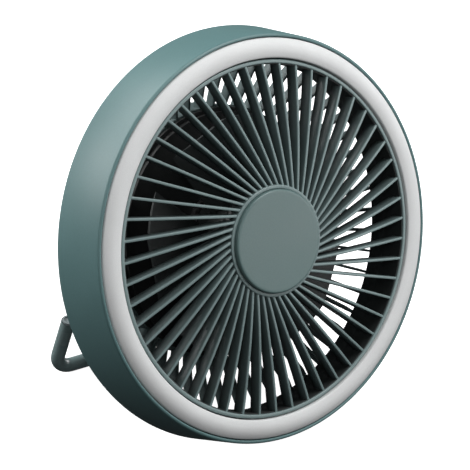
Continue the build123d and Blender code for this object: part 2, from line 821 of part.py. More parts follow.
# Bail: one bent tube, arms hung on pins outside the guard's ears
pivot_point = face.from_local_coords((0, -pivot_drop, -pivot_depth))
arm_direction = face.y_dir * -math.cos(rest_angle) + face.z_dir * -math.sin(rest_angle)
bail_plane = Plane(pivot_point, x_dir=face.x_dir, z_dir=face.x_dir.cross(arm_direction))
tube_bore = tube_radius - tube_wall


def pin_plane(side, reach):
    """Plane square to the pivot pins, a reach out from the middle, looking inwards."""
    return Plane(pivot_point + face.x_dir * side * reach, x_dir=arm_direction,
                 z_dir=face.x_dir * -side)


with BuildPart() as bail_tube:
    with BuildLine(bail_plane):
        FilletPolyline(
            (-bail_half_width, -arm_tip),
            (-bail_half_width, arm_length),
            (bail_half_width, arm_length),
            (bail_half_width, -arm_tip),
            radius=bail_bend,
        )
    tube_start = pivot_point - face.x_dir * bail_half_width - arm_direction * arm_tip
    with BuildSketch(Plane(tube_start, x_dir=face.x_dir, z_dir=arm_direction)):
        Circle(tube_radius)
        Circle(tube_bore, mode=Mode.SUBTRACT)
    sweep()
    for side in (-1, 1):
        with BuildSketch(pin_plane(side, bail_half_width)):
            Circle(pin_radius + push_fit)
        extrude(amount=tube_radius + overrun, mode=Mode.SUBTRACT)
keep(bail_tube, "bail_tube")

with BuildPart() as bail_end_caps:
    for side in (-1, 1):
        tip = pivot_point + face.x_dir * side * bail_half_width - arm_direction * arm_tip
        tip_plane = Plane(tip, x_dir=face.x_dir, z_dir=-arm_direction)
        with BuildSketch(tip_plane):
            Circle(tube_radius)
        extrude(amount=plug_head)
        with BuildSketch(tip_plane.offset(plug_head)):
            Circle(tube_radius - plug_rim)
        extrude(amount=-plug_dish, mode=Mode.SUBTRACT)
        with BuildSketch(tip_plane):
            Circle(tube_bore - push_fit)
        extrude(amount=-plug_length)
        with BuildSketch(pin_plane(side, bail_half_width + pin_bite)):
            Circle(pin_radius + push_fit)
        extrude(amount=tube_radius + pin_bite, mode=Mode.SUBTRACT)
keep(bail_end_caps, "bail_end_caps")

with BuildPart() as pivot_pins:
    for side in (-1, 1):
        with BuildSketch(pin_plane(side, bail_half_width + pin_bite - push_fit)):
            Circle(pin_radius)
        extrude(amount=bail_half_width + pin_bite - push_fit - ear_inner)
keep(pivot_pins, "pivot_pins")

with BuildPart() as pivot_bushes:
    for side in (-1, 1):
        bore = pin_radius + running_fit
        with BuildSketch(pin_plane(side, ear_outer)):
            Circle(bore + bush_wall)
            Circle(bore, mode=Mode.SUBTRACT)
        extrude(amount=ear_thickness)
        with BuildSketch(pin_plane(side, ear_outer + bush_flange)):
            Circle(bore + bush_wall + bush_flange_width)
            Circle(bore, mode=Mode.SUBTRACT)
        extrude(amount=bush_flange)
keep(pivot_bushes, "pivot_bushes")
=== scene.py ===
import json
import math

import bmesh
import bpy
from mathutils import Matrix, Vector


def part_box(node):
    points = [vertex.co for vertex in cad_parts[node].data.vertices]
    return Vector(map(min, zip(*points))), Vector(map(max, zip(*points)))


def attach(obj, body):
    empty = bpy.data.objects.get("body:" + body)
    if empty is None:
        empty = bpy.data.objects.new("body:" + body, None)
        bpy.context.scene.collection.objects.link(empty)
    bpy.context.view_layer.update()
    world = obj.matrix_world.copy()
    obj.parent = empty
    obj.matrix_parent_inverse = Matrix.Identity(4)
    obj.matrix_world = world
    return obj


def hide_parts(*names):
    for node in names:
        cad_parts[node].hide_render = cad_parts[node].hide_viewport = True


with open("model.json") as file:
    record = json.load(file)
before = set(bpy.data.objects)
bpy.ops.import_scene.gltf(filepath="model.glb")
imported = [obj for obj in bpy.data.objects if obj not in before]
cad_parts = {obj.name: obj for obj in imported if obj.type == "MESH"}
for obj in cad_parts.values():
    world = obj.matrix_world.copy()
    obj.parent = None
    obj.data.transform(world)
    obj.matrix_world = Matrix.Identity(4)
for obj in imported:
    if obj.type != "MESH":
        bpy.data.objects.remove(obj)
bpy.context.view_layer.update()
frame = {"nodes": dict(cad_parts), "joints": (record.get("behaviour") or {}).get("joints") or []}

# Drum: the short teal housing that carries everything, its wall flaring a little towards the back.
# Injection moulded in satin plastic, with a thin rounded lip in front and a rounded rear edge.
# Pieces are made in the fan's frame, x right, y up, z forward from the rim, then placed by stand.
spin_joint = next(joint for joint in frame["joints"] if joint["name"] == "impeller_spin")
rim_centre = Vector(spin_joint["pos_m"])
facing = Vector(spin_joint["axis"]).normalized()
sideways = Vector((1, 0, 0))
stand = Matrix((sideways, facing.cross(sideways), facing)).transposed().to_4x4()
stand.translation = rim_centre
weld = 1e-6
same_place = 1e-5
crease = math.radians(35)
round_steps = 240
noise_low = 0.3
noise_high = 0.7


def turned(outline, steps=192, closed=True):
    """Ring or disc turned about the fan axis from points of radius and height."""
    bm = bmesh.new()
    points = [bm.verts.new((radius, 0, height)) for radius, height in outline]
    following = points[1:] + points[:1] if closed else points[1:]
    edges = [bm.edges.new(pair) for pair in zip(points, following)]
    bmesh.ops.spin(bm, geom=points + edges, cent=(0, 0, 0), axis=(0, 0, 1),
                   angle=math.tau, steps=steps, use_merge=True)
    bmesh.ops.remove_doubles(bm, verts=bm.verts, dist=weld)
    bmesh.ops.recalc_face_normals(bm, faces=bm.faces)
    return bm


def rounded(bm, places, width, segments=3):
    """Rounds the circular edges of a turned piece at places given as radius and height."""
    def at_place(corner):
        flat = math.hypot(corner.co.x, corner.co.y)
        return any(math.dist((flat, corner.co.z), place) < same_place for place in places)

    def level(edge):
        return abs(edge.verts[0].co.z - edge.verts[1].co.z) < weld

    rims = [edge for edge in bm.edges
            if level(edge) and all(at_place(corner) for corner in edge.verts)]
    bmesh.ops.bevel(bm, geom=rims, offset=width, offset_type="OFFSET", segments=segments,
                    profile=0.5, affect="EDGES", material=-1)
    return bm


def settle(name, bm, finish, body, slot, *nodes, place=stand):
    """Places a finished piece, and says what it rides on and the nodes it stands for; its slot is
    not used.
    """
    bm.transform(place)
    mesh = bpy.data.meshes.new(name)
    bm.to_mesh(mesh)
    bm.free()
    mesh.shade_smooth()
    mesh.set_sharp_from_angle(angle=crease)
    mesh.materials.append(finish)
    piece = bpy.data.objects.new(name, mesh)
    bpy.context.scene.collection.objects.link(piece)
    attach(piece, body)
    if nodes:
        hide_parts(*nodes)
    return piece


def surface_group(name, sockets):
    """Empty shader group from a place and named inputs to a colour, roughness and height."""
    group = bpy.data.node_groups.new(name, "ShaderNodeTree")
    group.interface.new_socket("Place", in_out="INPUT", socket_type="NodeSocketVector")
    for socket, kind in sockets:
        group.interface.new_socket(socket, in_out="INPUT", socket_type=kind)
    group.interface.new_socket("Colour", in_out="OUTPUT", socket_type="NodeSocketColor")
    group.interface.new_socket("Roughness", in_out="OUTPUT", socket_type="NodeSocketFloat")
    group.interface.new_socket("Height", in_out="OUTPUT", socket_type="NodeSocketFloat")
    return group, group.nodes.new("NodeGroupInput"), group.nodes.new("NodeGroupOutput")


def noise(tree, place, scale, detail):
    """Noise texture on a place, its scale a number or a socket."""
    made = tree.nodes.new("ShaderNodeTexNoise")
    made.inputs["Detail"].default_value = detail
    tree.links.new(place, made.inputs["Vector"])
    if isinstance(scale, bpy.types.NodeSocket):
        tree.links.new(scale, made.inputs["Scale"])
    else:
        made.inputs["Scale"].default_value = scale
    return made.outputs["Fac"]


def swing(tree, value, low, high):
    """Maps a value from about the middle half of its range to low and high."""
    made = tree.nodes.new("ShaderNodeMapRange")
    made.inputs["From Min"].default_value = noise_low
    made.inputs["From Max"].default_value = noise_high
    made.inputs["To Min"].default_value = low
    made.inputs["To Max"].default_value = high
    tree.links.new(value, made.inputs["Value"])
    return made.outputs["Result"]


def sums(tree, kind, first, second):
    """Adds or multiplies two values."""
    made = tree.nodes.new("ShaderNodeMath")
    made.operation = kind
    tree.links.new(first, made.inputs[0])
    tree.links.new(second, made.inputs[1])
    return made.outputs["Value"]


def tinted(tree, colour, value):
    """A colour made lighter or darker by a value."""
    made = tree.nodes.new("ShaderNodeVectorMath")
    made.operation = "SCALE"
    tree.links.new(colour, made.inputs[0])
    tree.links.new(value, made.inputs["Scale"])
    return made.outputs["Vector"]


# Moulded surface: faint flow clouds in the colour and gloss, and the fine grain of the tool's steel
cloud_scale = 24
cloud_detail = 3
speck_detail = 2
cloud_shades = (0.95, 1.05)
speck_shades = (0.97, 1.03)
cloud_gloss = 0.04
moulded_surface, given, gives = surface_group("moulded_surface", (
    ("Colour", "NodeSocketColor"), ("Roughness", "NodeSocketFloat"), ("Grain", "NodeSocketFloat")))
clouds = noise(moulded_surface, given.outputs["Place"], cloud_scale, cloud_detail)
specks = noise(moulded_surface, given.outputs["Place"], given.outputs["Grain"], speck_detail)
cloud_tint = swing(moulded_surface, clouds, *cloud_shades)
speck_tint = swing(moulded_surface, specks, *speck_shades)
both_tints = sums(moulded_surface, "MULTIPLY", cloud_tint, speck_tint)
clouded_colour = tinted(moulded_surface, given.outputs["Colour"], both_tints)
gloss_shift = swing(moulded_surface, clouds, -cloud_gloss, cloud_gloss)
clouded_gloss = sums(moulded_surface, "ADD", given.outputs["Roughness"], gloss_shift)
moulded_surface.links.new(clouded_colour, gives.inputs["Colour"])
moulded_surface.links.new(clouded_gloss, gives.inputs["Roughness"])
moulded_surface.links.new(specks, gives.inputs["Height"])


def finish_of(name, group, values, relief, constants=()):
    """Material from a surface group in the fan's frame, with constants set on the shader itself."""
    finish = bpy.data.materials.new(name)
    finish.use_nodes = True
    tree = finish.node_tree
    shader = tree.nodes["Principled BSDF"]
    place = tree.nodes.new("ShaderNodeTexCoord")
    turn = tree.nodes.new("ShaderNodeMapping")
    turn.vector_type = "TEXTURE"
    turn.inputs["Location"].default_value = rim_centre
    turn.inputs["Rotation"].default_value = stand.to_euler()
    surface = tree.nodes.new("ShaderNodeGroup")
    surface.node_tree = group
    for socket, value in values.items():
        surface.inputs[socket].default_value = value
    bump = tree.nodes.new("ShaderNodeBump")
    bump.inputs["Distance"].default_value = relief
    tree.links.new(place.outputs["Object"], turn.inputs["Vector"])
    tree.links.new(turn.outputs["Vector"], surface.inputs["Place"])
    tree.links.new(surface.outputs["Colour"], shader.inputs["Base Color"])
    tree.links.new(surface.outputs["Roughness"], shader.inputs["Roughness"])
    tree.links.new(surface.outputs["Height"], bump.inputs["Height"])
    tree.links.new(bump.outputs["Normal"], shader.inputs["Normal"])
    for socket, value in constants:
        shader.inputs[socket].default_value = value
    return finish


def moulded(name, colour, roughness, grain=1100, relief=0.00002, constants=()):
    """Moulded plastic of one colour."""
    values = {"Colour": (*colour, 1), "Roughness": roughness, "Grain": grain}
    return finish_of(name, moulded_surface, values, relief, constants)


drum_front_radius = 0.0995
drum_rear_radius = 0.1025
drum_depth = 0.030
drum_wall = 0.0018
drum_edge = 0.0008
lip_outer_edge = 0.0011
lip_edge = 0.0006
shelf_radius = 0.0857
shelf_front = -0.011
shelf_back = -0.0128
drum_satin = moulded("drum_satin", (0.108, 0.203, 0.206), 0.45)


def wall_radius(height):
    """Outside radius of the drum at a height, which is negative behind the rim."""
    return drum_front_radius - (drum_rear_radius - drum_front_radius) * height / drum_depth


drum = turned((
    (drum_front_radius, 0),
    (drum_rear_radius, -drum_depth),
    (drum_rear_radius - drum_wall, -drum_depth),
    (wall_radius(shelf_back) - drum_wall, shelf_back),
    (shelf_radius, shelf_back),
    (shelf_radius, shelf_front),
    (wall_radius(shelf_front) - drum_wall, shelf_front),
    (drum_front_radius - drum_wall, 0),
), steps=round_steps)
rounded(drum, ((drum_front_radius, 0),), lip_outer_edge, segments=5)
rounded(drum, ((drum_rear_radius, -drum_depth),), drum_edge)
rounded(drum, ((drum_front_radius - drum_wall, 0), (drum_rear_radius - drum_wall, -drum_depth)),
        lip_edge)
settle("drum_shell", drum, drum_satin, "fan", "drum", "drum_housing")

# Lamp insides: white reflector ring, lamp board and its diodes, all under the diffuser.
# Matt white plastic, green solder mask and yellow phosphor; the board is pressed between two lips.


def coat(finish, *names):
    """Gives nodes of the frame a better material."""
    for name in names:
        for slot in frame["nodes"][name].material_slots:
            slot.material = finish


track_scale = 160
track_width = 0.03
track_relief = 0.00005
mask_scale = 300
mask_detail = 2
mask_shades = (0.9, 1.1)
mask_gloss = (0.3, 0.45)
board_surface, given, gives = surface_group("board_surface", (
    ("Mask", "NodeSocketColor"), ("Copper", "NodeSocketColor")))
tracks = board_surface.nodes.new("ShaderNodeTexBrick")
tracks.inputs["Scale"].default_value = track_scale
tracks.inputs["Mortar Size"].default_value = track_width
board_surface.links.new(given.outputs["Place"], tracks.inputs["Vector"])
board_surface.links.new(given.outputs["Mask"], tracks.inputs["Color1"])
board_surface.links.new(given.outputs["Mask"], tracks.inputs["Color2"])
board_surface.links.new(given.outputs["Copper"], tracks.inputs["Mortar"])
mask_clouds = noise(board_surface, given.outputs["Place"], mask_scale, mask_detail)
mask_tint = swing(board_surface, mask_clouds, *mask_shades)
masked_colour = tinted(board_surface, tracks.outputs["Color"], mask_tint)
board_surface.links.new(masked_colour, gives.inputs["Colour"])
board_surface.links.new(swing(board_surface, mask_clouds, *mask_gloss), gives.inputs["Roughness"])
board_surface.links.new(tracks.outputs["Fac"], gives.inputs["Height"])
board_colours = {"Mask": (0.01, 0.07, 0.03, 1), "Copper": (0.03, 0.15, 0.06, 1)}
board_green = finish_of("board_green", board_surface, board_colours, track_relief)
coat(moulded("reflector_white", (0.8, 0.8, 0.78), 0.6), "light_reflector")
coat(board_green, "led_ring_board", "driver_board", "control_board")
coat(moulded("phosphor_yellow", (0.85, 0.68, 0.2), 0.35, grain=3000), "leds")

# Light diffuser: the white convex ring between the lip and the grille, the fan's lamp.
# Milky plastic moulded as a channel with a satin crown, dropped over the lamp.
diffuser_outer = 0.0973
diffuser_inner = 0.0877
diffuser_rise = 0.0014
diffuser_crown = 0.0015
diffuser_wall = 0.0015
diffuser_foot = -0.0096
diffuser_edge = 0.0005
crown_steps = 14
under_steps = 6


def bowed(start, end, bulge, steps):
    """Points of a shallow curve from start to end that bows out to the left of its chord."""
    across = Vector(end) - Vector(start)
    left = Vector((-across.y, across.x)).normalized()
    shares = [step / steps for step in range(steps + 1)]
    return [Vector(start) + across * share + left * bulge * 4 * share * (1 - share)
            for share in shares]


crown = bowed((diffuser_inner, diffuser_rise), (diffuser_outer, 0), diffuser_crown, crown_steps)
under = bowed((diffuser_outer - diffuser_wall, -diffuser_wall),
              (diffuser_inner + diffuser_wall, diffuser_rise - diffuser_wall),
              -diffuser_crown, under_steps)
diffuser = turned((
    *crown,
    (diffuser_outer, diffuser_foot),
    (diffuser_outer - diffuser_wall, diffuser_foot),
    *under,
    (diffuser_inner + diffuser_wall, diffuser_foot),
    (diffuser_inner, diffuser_foot),
), steps=round_steps)
rounded(diffuser, ((diffuser_inner, diffuser_rise), (diffuser_outer, 0)), diffuser_edge)
milky = moulded("diffuser_milky", (0.74, 0.75, 0.75), 0.55, grain=2400, relief=0.000004,
                constants=(("Subsurface Weight", 0.2), ("Subsurface Scale", 0.003),
                           ("Subsurface Radius", (1, 1, 1)), ("Specular IOR Level", 0.3)))
settle("diffuser_ring", diffuser, milky, "fan", "diffuser", "light_diffuser")

# Front grille: hub ring, outer ring and 52 straight ribs that all pass the axis at one offset.
# One moulding in the drum's teal, its ribs standing on edge along a shallow dome,
# pressed into the lamp ring. Its colour darkens with depth behind the front: painted shade.
grille_radius = 0.0870
grille_ring_width = 0.0019
grille_edge = 0.0005
rib_count = 52
rib_offset = 0.01265
rib_start = math.radians(3.85)
rib_thickness = 0.0014
rib_depth = 0.0072
rib_edge = 0.00042
rib_bow = 0.0012
hub_radius = 0.0272
hub_wall = 0.0019
hub_rise = 0.005
hub_floor = 0.0016
hub_depth = 0.006
hub_shadow = 0.0002
rib_steps = 8
# Stops of the painted shade: share of the depth behind the front, and how dark the colour is there
painted_shade_stops = ((0.03, 1.0), (0.10, 0.58), (0.85, 0.10))


def plates_round(outline, offset, thickness, edge, count, start):
    """Thin plates of one outline, standing on edge with rounded edges, set round the fan axis."""
    bm = bmesh.new()
    corners = [bm.verts.new((radius, offset - thickness / 2, height)) for radius, height in outline]
    side = bm.faces.new(corners)
    grown = bmesh.ops.extrude_face_region(bm, geom=[side])["geom"]
    far_side = [corner for corner in grown if isinstance(corner, bmesh.types.BMVert)]
    bmesh.ops.translate(bm, verts=far_side, vec=(0, thickness, 0))
    bmesh.ops.recalc_face_normals(bm, faces=bm.faces)
    along = [line for line in bm.edges if abs(line.verts[0].co.y - line.verts[1].co.y) < weld]
    bmesh.ops.bevel(bm, geom=along, offset=edge, offset_type="OFFSET", segments=2,
                    profile=0.5, affect="EDGES", material=-1)
    bmesh.ops.rotate(bm, verts=bm.verts, cent=(0, 0, 0), matrix=Matrix.Rotation(start, 3, "Z"))
    bmesh.ops.spin(bm, geom=bm.verts[:] + bm.edges[:] + bm.faces[:], cent=(0, 0, 0), axis=(0, 0, 1),
                   angle=math.tau * (count - 1) / count, steps=count - 1, use_duplicate=True)
    return bm


def chord_reach(radius):
    """How far along its own line a rib is when it meets a radius."""
    return math.sqrt(radius ** 2 - rib_offset ** 2)


def deepen(bm, front_of):
    """Notes on each point how far it lies behind the grille's front at its radius."""
    depth = bm.verts.layers.float.new("depth")
    for corner in bm.verts:
        corner[depth] = front_of(math.hypot(corner.co.x, corner.co.y)) - corner.co.z
    return bm


def joined(*parts):
    """Several meshes in one piece."""
    whole = bmesh.new()
    for part in parts:
        carrier = bpy.data.meshes.new("carrier")
        part.to_mesh(carrier)
        part.free()
        whole.from_mesh(carrier)
        bpy.data.meshes.remove(carrier)
    return whole


def rib_height(radius):
    """Height of the ribs' front edge at a radius."""
    share = (chord_reach(max(radius, rib_offset)) - rib_inner) / (rib_outer - rib_inner)
    return hub_rise * (1 - share) + rib_bow * 4 * share * (1 - share)


rib_inner = chord_reach(hub_radius - hub_wall / 2)
rib_outer = chord_reach(grille_radius - grille_ring_width / 2)
rib_front = bowed((rib_inner, hub_rise), (rib_outer, 0), rib_bow, rib_steps)
rib_back = [point - Vector((0, rib_depth)) for point in reversed(rib_front)]
ribs = plates_round([*rib_front, *rib_back], -rib_offset, rib_thickness, rib_edge,
                    rib_count, rib_start)
grille_ring = turned((
    (grille_radius, grille_edge),
    (grille_radius, shelf_front),
    (grille_radius - grille_ring_width, shelf_front),
    (grille_radius - grille_ring_width, grille_edge),
), steps=round_steps)
rounded(grille_ring,
        ((grille_radius, grille_edge), (grille_radius - grille_ring_width, grille_edge)),
        grille_edge)
hub_top = hub_rise + grille_edge
hub_back = hub_rise - hub_depth
hub = turned((
    (0, hub_back - hub_floor),
    (hub_radius, hub_back - hub_floor),
    (hub_radius, hub_top),
    (hub_radius - hub_wall, hub_top),
    (hub_radius - hub_wall, hub_back),
    (0, hub_back),
), closed=False)
rounded(hub, ((hub_radius, hub_top), (hub_radius - hub_wall, hub_top)), grille_edge)
grille_satin = moulded("grille_satin", (0.19, 0.26, 0.26), 0.34)
# Painted shade: the grille's colour is darkened by a ramp over each point's depth behind its front
grille_tree = grille_satin.node_tree
grille_depth = grille_tree.nodes.new("ShaderNodeAttribute")
grille_depth.attribute_name = "depth"
depth_share = grille_tree.nodes.new("ShaderNodeMapRange")
depth_share.inputs["From Max"].default_value = rib_depth
painted_shade_ramp = grille_tree.nodes.new("ShaderNodeValToRGB")
for stop, shade in painted_shade_stops:
    mark = painted_shade_ramp.color_ramp.elements.new(stop)
    mark.color = (shade, shade, shade, 1)
painted_shade_ramp.color_ramp.elements.remove(painted_shade_ramp.color_ramp.elements[0])
painted_shade_ramp.color_ramp.elements.remove(painted_shade_ramp.color_ramp.elements[-1])
grille_tree.links.new(grille_depth.outputs["Fac"], depth_share.inputs["Value"])
grille_tree.links.new(depth_share.outputs["Result"], painted_shade_ramp.inputs["Fac"])
grille_shader = grille_tree.nodes["Principled BSDF"]
grille_colour = grille_shader.inputs["Base Color"].links[0].from_socket
painted_shade_colour = tinted(grille_tree, grille_colour, painted_shade_ramp.outputs["Color"])
grille_tree.links.new(painted_shade_colour, grille_shader.inputs["Base Color"])
# Depths for the painted shade; the hub's front is set a little deeper, so it is painted a little
# darker
grille = joined(
    deepen(ribs, rib_height),
    deepen(grille_ring, lambda radius: grille_edge),
    deepen(hub, lambda radius: hub_top + hub_shadow),
)
settle("swirl_grille", grille, grille_satin, "fan", "grille", "front_grille")

# Hub cap: the flat disc in the middle of the grille, a little proud of the hub ring.
# A separate teal moulding with a rounded edge and a skirt, snapped into the hub.
cap_radius = 0.0252
cap_top = 0.0074
cap_dish = 0.0002
cap_edge = 0.0009
cap_thickness = 0.0022
cap_skirt = 0.0015
cap = turned((
    (0, cap_top - cap_dish),
    (cap_radius - cap_edge * 2, cap_top),
    (cap_radius, cap_top),
    (cap_radius, hub_back),
    (cap_radius - cap_skirt, hub_back),
    (cap_radius - cap_skirt, cap_top - cap_thickness),
    (0, cap_top - cap_thickness),
), closed=False)
rounded(cap, ((cap_radius, cap_top),), cap_edge, segments=5)
cap_satin = moulded("cap_satin", (0.108, 0.172, 0.169), 0.33)
settle("hub_disc", cap, cap_satin, "fan", "hub_cap", "hub_cap")

# Air duct: the black shroud behind the shelf, its thin front lining the grille's ring inside.
# Matt plastic, trapped by its flange between the shelf and the rear guard.
# The lining is a black sheet over the teal inner wall of the grille's ring, standing in for the
# shade there
lining_inner = 0.0846
lining_outer = 0.0850
lining_front = -0.0003
duct_wall = 0.0015
duct_flange = 0.005
duct_rear_radius = 0.0886
duct_rear = -0.0278
duct_bow = 0.0008
duct_steps = 6
duct_inside = bowed((lining_inner, shelf_back), (duct_rear_radius, duct_rear), duct_bow, duct_steps)
duct_outside = bowed((duct_rear_radius + duct_wall, duct_rear),
                     (shelf_radius + duct_wall, shelf_back - duct_wall), -duct_bow, duct_steps)
duct = turned((
    (lining_inner, lining_front),
    *duct_inside,
    *duct_outside,
    (shelf_radius + duct_flange, shelf_back - duct_wall),
    (shelf_radius + duct_flange, shelf_back),
    (lining_outer, shelf_back),
    (lining_outer, lining_front),
))
duct_black = moulded("duct_black", (0.022, 0.026, 0.026), 0.6)
settle("air_shroud", duct, duct_black, "fan", "duct", "air_duct")

# Impeller: the black wheel of five broad blades that pushes the air.
# Satin plastic, pressed on the rotor's steel can.
coat(moulded("impeller_black", (0.027, 0.033, 0.033), 0.5), "impeller")

# Motor: rotor can, ring magnet, shaft, clip and bearings, the wound core and its base.
# Turned and pressed steel, copper wire and cast aluminium; the base is screwed to the pod's floor.
mark_scale = 1
mark_detail = 4
mark_shades = (0.85, 1.1)
mark_gloss = 0.08
metal_surface, given, gives = surface_group("metal_surface", (
    ("Colour", "NodeSocketColor"), ("Roughness", "NodeSocketFloat"),
    ("Stretch", "NodeSocketVector")))
stretched = metal_surface.nodes.new("ShaderNodeVectorMath")
stretched.operation = "MULTIPLY"
metal_surface.links.new(given.outputs["Place"], stretched.inputs[0])
metal_surface.links.new(given.outputs["Stretch"], stretched.inputs[1])
marks = noise(metal_surface, stretched.outputs["Vector"], mark_scale, mark_detail)
mark_tint = swing(metal_surface, marks, *mark_shades)
marked_colour = tinted(metal_surface, given.outputs["Colour"], mark_tint)
mark_shift = swing(metal_surface, marks, -mark_gloss, mark_gloss)
marked_gloss = sums(metal_surface, "ADD", given.outputs["Roughness"], mark_shift)
metal_surface.links.new(marked_colour, gives.inputs["Colour"])
metal_surface.links.new(marked_gloss, gives.inputs["Roughness"])
metal_surface.links.new(marks, gives.inputs["Height"])


def metal(name, colour, roughness, stretch=(200, 200, 2500), relief=0.00001, shine=1.0):
    """Turned, rolled or drawn metal, its marks drawn out by the stretch."""
    values = {"Colour": (*colour, 1), "Roughness": roughness, "Stretch": stretch}
    return finish_of(name, metal_surface, values, relief, (("Metallic", shine),))


bright_steel = metal("bright_steel", (0.55, 0.55, 0.56), 0.28)
coat(bright_steel, "rotor_can", "motor_shaft", "shaft_clip", "motor_bearings", "pivot_pins")
coat(metal("sintered_magnet", (0.05, 0.05, 0.052), 0.6, stretch=(900, 900, 900), shine=0.3),
     "rotor_magnet")
coat(metal("cast_base", (0.6, 0.6, 0.61), 0.4, stretch=(700, 700, 700)), "motor_base")
coat(metal("stacked_core", (0.22, 0.22, 0.23), 0.45, stretch=(20, 20, 4000), relief=0.00004),
     "stator_core")
coat(metal("copper_wire", (0.62, 0.25, 0.1), 0.3, stretch=(1500, 1500, 1500), relief=0.00006),
     "stator_windings")

# Rear guard: 52 radial fins on a shallow dome, from the drum's flange to the sleeve round the pod.
# One teal moulding, screwed to the drum; a lug on each side of the sleeve carries the bail's bush.
flange_radius = 0.1004
flange_inner = 0.092
flange_front = -0.0278
guard_edge = 0.0004
fin_count = 52
fin_start = math.radians(2.91)
fin_thickness = 0.0012
fin_edge = 0.0003
fin_depth = 0.006
fin_outer = 0.094
fin_front = -0.0286
fin_bow = 0.001
fin_steps = 8
dome_back = -0.046
sleeve_inner = 0.06002
sleeve_outer = 0.06292
sleeve_front = -0.0396
sleeve_back = -0.0616
fin_inner = (sleeve_inner + sleeve_outer) / 2
fin_back_edge = bowed((fin_outer, -drum_depth), (fin_inner, dome_back), fin_bow, fin_steps)
knee_share = (-fin_front + fin_depth - drum_depth) / (-dome_back - drum_depth)
fin_knee = fin_outer + (fin_inner - fin_outer) * knee_share
fins = plates_round([
    *fin_back_edge,
    Vector((fin_inner, dome_back + fin_depth)),
    Vector((fin_knee, fin_front)),
    Vector((fin_outer, fin_front)),
], 0, fin_thickness, fin_edge, fin_count, fin_start)
flange_corners = (
    (flange_radius, flange_front),
    (flange_radius, -drum_depth),
    (flange_inner, -drum_depth),
    (flange_inner, flange_front),
)
flange = rounded(turned(flange_corners, steps=round_steps), flange_corners[1:], guard_edge)
sleeve_corners = (
    (sleeve_outer, sleeve_front),
    (sleeve_outer, sleeve_back),
    (sleeve_inner, sleeve_back),
    (sleeve_inner, sleeve_front),
)
sleeve = rounded(turned(sleeve_corners), (sleeve_corners[0], sleeve_corners[1]), guard_edge)

lug_radius = 0.0046
lug_length = 0.018
lug_outer = 0.0727
lug_overlap = 0.0005
lug_root = sleeve_outer - lug_overlap
lug_edge = 0.0007
lug_arc_steps = 14
pivot_drop = 0.0338
pivot_depth = 0.069


def lug(side):
    """Lug from the sleeve out to the bush: a bar with a round end about the pivot."""
    bm = bmesh.new()
    turns = [math.pi * step / lug_arc_steps for step in range(lug_arc_steps + 1)]
    round_end = [(-pivot_drop + lug_radius * math.cos(turn),
                  -pivot_depth - lug_radius * math.sin(turn)) for turn in turns]
    square_end = [(-pivot_drop - lug_radius, lug_length - pivot_depth),
                  (-pivot_drop + lug_radius, lug_length - pivot_depth)]
    outline = [*round_end, *square_end]
    root = [bm.verts.new((side * math.sqrt(lug_root ** 2 - rise ** 2), rise, height))
            for rise, height in outline]
    face = bm.faces.new(root)
    grown = bmesh.ops.extrude_face_region(bm, geom=[face])["geom"]
    tip = [corner for corner in grown if isinstance(corner, bmesh.types.BMVert)]
    for corner in tip:
        corner.co.x = side * lug_outer
    bmesh.ops.recalc_face_normals(bm, faces=bm.faces)
    end_edges = [edge for edge in bm.edges
                 if all(abs(abs(corner.co.x) - lug_outer) < weld for corner in edge.verts)]
    bmesh.ops.bevel(bm, geom=end_edges, offset=lug_edge, offset_type="OFFSET", segments=3,
                    profile=0.5, affect="EDGES", material=-1)
    return bm


guard = joined(fins, flange, sleeve, lug(1), lug(-1))
guard_satin = moulded("guard_satin", (0.10, 0.14, 0.14), 0.5)
settle("fin_guard", guard, guard_satin, "fan", "guard", "rear_guard")

# Battery pod, its cover, the tray and the two cells: the closed housing behind the motor.
# A black moulded cup with a satin teal cover held by screws, and inside it a black tray
# and cells in blue sleeves.
coat(moulded("pod_black", (0.014, 0.016, 0.016), 0.6), "battery_pod")
coat(moulded("cover_satin", (0.155, 0.222, 0.222), 0.45), "pod_cover")
coat(moulded("tray_black", (0.02, 0.02, 0.02), 0.6), "battery_tray")
coat(moulded("cell_sleeve", (0.03, 0.12, 0.22), 0.3, grain=500), "battery_cells")

# Screws: slotted pan heads that hold the guard, the motor and the pod's cover.
# Blackened steel with faint turning marks.
coat(metal("black_steel", (0.09, 0.09, 0.095), 0.38, stretch=(1200, 1200, 1200)),
     "guard_screws", "motor_screws", "cover_screws")

# Switches and charging socket behind the cover.
# Black moulded switch bodies and a drawn steel shell.
coat(moulded("switch_black", (0.015, 0.015, 0.015), 0.5), "tact_switches")
coat(metal("socket_steel", (0.5, 0.5, 0.51), 0.3), "usb_socket")

# Push buttons: two pale caps in the cover, one with a fan sign and one with a lamp sign in relief.
# Satin plastic caps held by their flanges, the signs printed a little proud in dark ink.
control_rise = 0.027
control_spacing = 0.0125
button_radius = 0.0045
button_flange_radius = 0.0057
button_foot = -0.0604
button_ledge = -0.0616
button_top = -0.0646
button_dish = 0.00025
button_edge = 0.0006
button_steps = 64
sign_height = 0.00012
mark_sides = 20
dot_sides = 24
fan_marks = {"count": 3, "reach": 0.0013, "half_length": 0.0009, "half_width": 0.00055,
             "dot": 0.0004}
lamp_marks = {"count": 8, "reach": 0.0019, "half_length": 0.00045, "half_width": 0.00018,
              "dot": 0.0009}
button_pale = moulded("button_pale", (0.52, 0.55, 0.55), 0.4)
sign_ink = moulded("sign_ink", (0.03, 0.045, 0.045), 0.5)


def button_cap(across):
    """Round cap with a dished top that looks back, a flange below it."""
    bm = turned((
        (0, button_foot),
        (button_flange_radius, button_foot),
        (button_flange_radius, button_ledge),
        (button_radius, button_ledge),
        (button_radius, button_top),
        (button_radius - button_edge * 2, button_top),
        (0, button_top + button_dish),
    ), steps=button_steps, closed=False)
    rounded(bm, ((button_radius, button_top),), button_edge)
    bmesh.ops.translate(bm, verts=bm.verts, vec=(across, control_rise, 0))
    return bm


